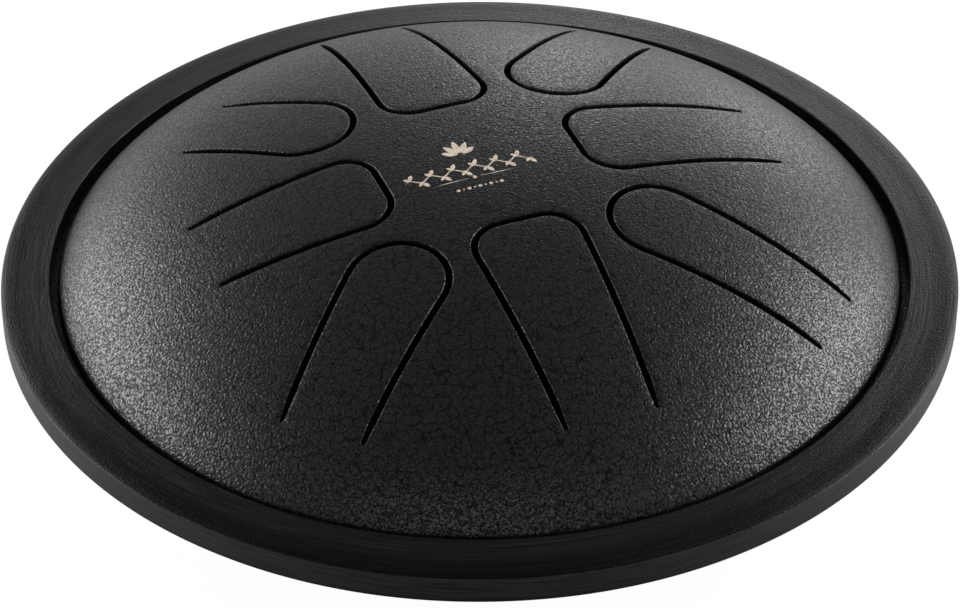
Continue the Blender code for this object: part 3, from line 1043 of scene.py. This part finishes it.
CAMERA_TURN = math.radians(-20.94)
CAMERA_RISE = math.radians(36.9)
CAMERA_REACH = 8 * RING
CAMERA_YAW = math.radians(-0.004)
CAMERA_PITCH = math.radians(-0.635)
CAMERA_ROLL = math.radians(0.17)
CAMERA_SENSOR = 36
CAMERA_LENS = 142.96875
LIGHT_REACH = 2.0
WALL_LEVELS = [
    (0.0, 1.0), (0.12, 0.52), (0.25, 0.30), (0.45, 0.20), (0.6, 0.12), (0.8, 0.08), (1.0, 0.08)
]


def studio_camera():
    """The camera: back from the ring's top edge along one line, then trued by small turns."""
    away = Vector((0, -math.cos(CAMERA_RISE), math.sin(CAMERA_RISE)))
    right = Vector((1, 0, 0))
    looks = Matrix((right, right.cross(-away), -away))
    true = (Matrix.Rotation(CAMERA_ROLL, 3, "Z") @ Matrix.Rotation(CAMERA_PITCH, 3, "X")
            @ Matrix.Rotation(CAMERA_YAW, 3, "Y"))
    looks = true @ looks
    turn = Matrix.Rotation(CAMERA_TURN, 3, "Z")
    data = bpy.data.cameras.new("studio_camera")
    data.sensor_width = CAMERA_SENSOR
    data.lens = CAMERA_LENS
    camera = bpy.data.objects.new("studio_camera", data)
    bpy.context.scene.collection.objects.link(camera)
    camera.matrix_world = (turn @ Matrix((looks[0], looks[1], -looks[2])).transposed()).to_4x4()
    camera.location = turn @ (away * CAMERA_REACH) + Vector((0, 0, seam + RING_TOP))
    bpy.context.scene.camera = camera


studio_camera()


def softbox(name, azimuth, elevation, width, height, power):
    """A rectangular soft light that faces the drum.

    As the camera sees it, azimuth 0 is straight behind the drum and 90 is to the right.
    """
    data = bpy.data.lights.new(name, "AREA")
    data.shape = "RECTANGLE"
    data.size, data.size_y = width, height
    data.energy = power
    lamp = bpy.data.objects.new(name, data)
    bpy.context.scene.collection.objects.link(lamp)
    heading = math.pi / 2 + CAMERA_TURN - math.radians(azimuth)
    rise = math.radians(elevation)
    level = math.cos(rise)
    away = Vector((math.cos(heading) * level, math.sin(heading) * level, math.sin(rise)))
    lamp.location = Vector((0, 0, seam)) + away * LIGHT_REACH
    lamp.rotation_mode = "QUATERNION"
    lamp.rotation_quaternion = away.to_track_quat("Z", "Y")
    lamp.visible_camera = False
    return lamp


softbox("left_softbox", -71, 20, 2.0, 1.1, 36)
softbox("right_softbox", 73, 24, 1.9, 1.2, 40)
softbox("rear_strip", 5.0, 12, 0.18, 0.5, 2.0)
softbox("rear_right_card", 24, 9, 0.6, 0.4, 3.0)
softbox("rear_left_card", -42, 10, 0.8, 0.4, 1.6)
softbox("front_fill", 180, 44, 1.8, 0.7, 2.4)


def studio_paper():
    """White paper that glows, with a painted shadow under the middle of the drum, where it is black.

    In plain view it glows evenly bright. In the drum's reflections its glow is painted shadow, dark
    under the drum and dim near it, and painted light, brighter far off and to both sides. The share
    to the sides is the square of the cosine between a point's direction and the camera's right.
    """
    material, tree, shader, place = new_material("studio_paper")
    link = tree.links.new
    shader.inputs["Roughness"].default_value = 0.9
    shader.inputs["Specular IOR Level"].default_value = 0.0
    shader.inputs["Emission Color"].default_value = (1, 1, 1, 1)
    right = (math.cos(CAMERA_TURN), math.sin(CAMERA_TURN), 0)
    reach = maths(tree, "LENGTH", place, kind="VectorMath")
    # Painted shadow: in plain view the paper glows evenly but is black under the middle of the drum.
    seen_glow_and_painted_shadow = remap(tree, reach, 0.05, 0.08, 0, 0.96)
    # Painted light: in reflections the paper glows more far off and to both sides.
    far_glow = remap(tree, reach, 0.20, 0.65, 0.10, 0.7)
    beside = maths(tree, "DOT_PRODUCT", place, right, kind="VectorMath")
    cosine = maths(tree, "DIVIDE", beside, reach)
    sides = maths(tree, "MULTIPLY", cosine, cosine)
    painted_light_glow = maths(tree, "MULTIPLY_ADD", sides, 0.5, far_glow)
    # Painted shadow: in reflections the glow is taken away under and near the drum.
    mirrored_glow_and_painted_shadow = maths(tree, "MULTIPLY", painted_light_glow, remap(tree, reach, 0.13, 0.19, 0, 1))
    glow = tree.nodes.new("ShaderNodeMix")
    link(tree.nodes.new("ShaderNodeLightPath").outputs["Is Camera Ray"], glow.inputs["Factor"])
    link(mirrored_glow_and_painted_shadow, glow.inputs["A"])
    link(seen_glow_and_painted_shadow, glow.inputs["B"])
    link(glow.outputs["Result"], shader.inputs["Emission Strength"])
    # Painted shadow: the paper's colour is black where its plain-view glow is taken away.
    tone = tree.nodes.new("ShaderNodeMix")
    tone.data_type = "RGBA"
    link(seen_glow_and_painted_shadow, tone.inputs["Factor"])
    tone.inputs["A"].default_value = (0.0, 0.0, 0.0, 1)
    tone.inputs["B"].default_value = (0.1, 0.1, 0.1, 1)
    link(tone.outputs["Result"], shader.inputs["Base Color"])
    return material


bpy.ops.mesh.primitive_plane_add(size=12)
floor = bpy.context.object
floor.name = "studio_floor"
paper = studio_paper()
floor.data.materials.append(paper)


def studio_walls():
    """Soft light from pale walls: brightest at the horizon, falling off towards a dark ceiling."""
    world = bpy.data.worlds.new("studio_world")
    bpy.context.scene.world = world
    world.use_nodes = True
    tree = world.node_tree
    where = tree.nodes.new("ShaderNodeTexCoord")
    split = tree.nodes.new("ShaderNodeSeparateXYZ")
    tree.links.new(where.outputs["Generated"], split.inputs["Vector"])
    wall = tones(tree, split.outputs["Z"], [(rise, (level,) * 3) for rise, level in WALL_LEVELS])
    tree.links.new(wall, tree.nodes["Background"].inputs["Color"])


studio_walls()
bpy.context.scene.view_settings.view_transform = "Standard"
